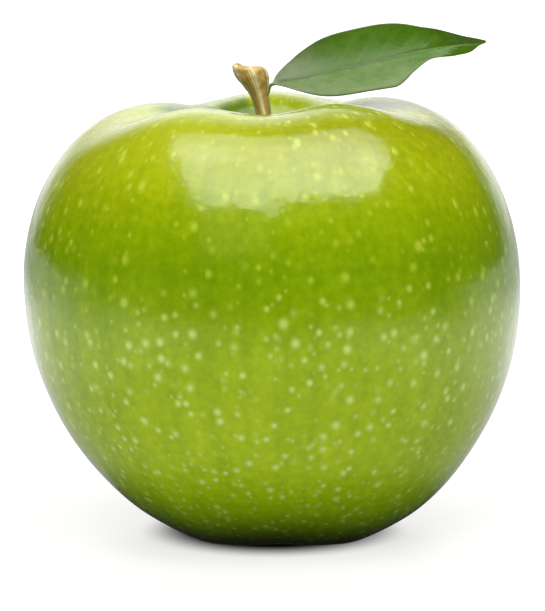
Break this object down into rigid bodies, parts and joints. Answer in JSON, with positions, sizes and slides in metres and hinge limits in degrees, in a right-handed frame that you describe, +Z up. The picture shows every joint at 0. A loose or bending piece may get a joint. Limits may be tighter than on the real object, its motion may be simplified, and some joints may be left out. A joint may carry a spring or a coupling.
{
  "type": "green apple",
  "caption": "Whole green apple standing on its base, with soft lobes, a stalk set in a deep cavity, a folded leaf on the stalk and a dried calyx underneath.",
  "frame": {"origin": "on the surface that the apple rests on, under the middle of the object's box", "axes": "+Z up through the stalk, -Y towards the front, with the leaf reaching out towards +X"},
  "size_m": [0.0799, 0.0798, 0.0816],
  "materials": {
    "skin": "gloss",
    "stalk": "matte",
    "leaf": "satin",
    "dry_calyx": "matte"
  },
  "bodies": {
    "root": {"fruit": "skin", "stalk": "stalk", "leaf": "leaf", "calyx": "dry_calyx"}
  },
  "joints": []
}
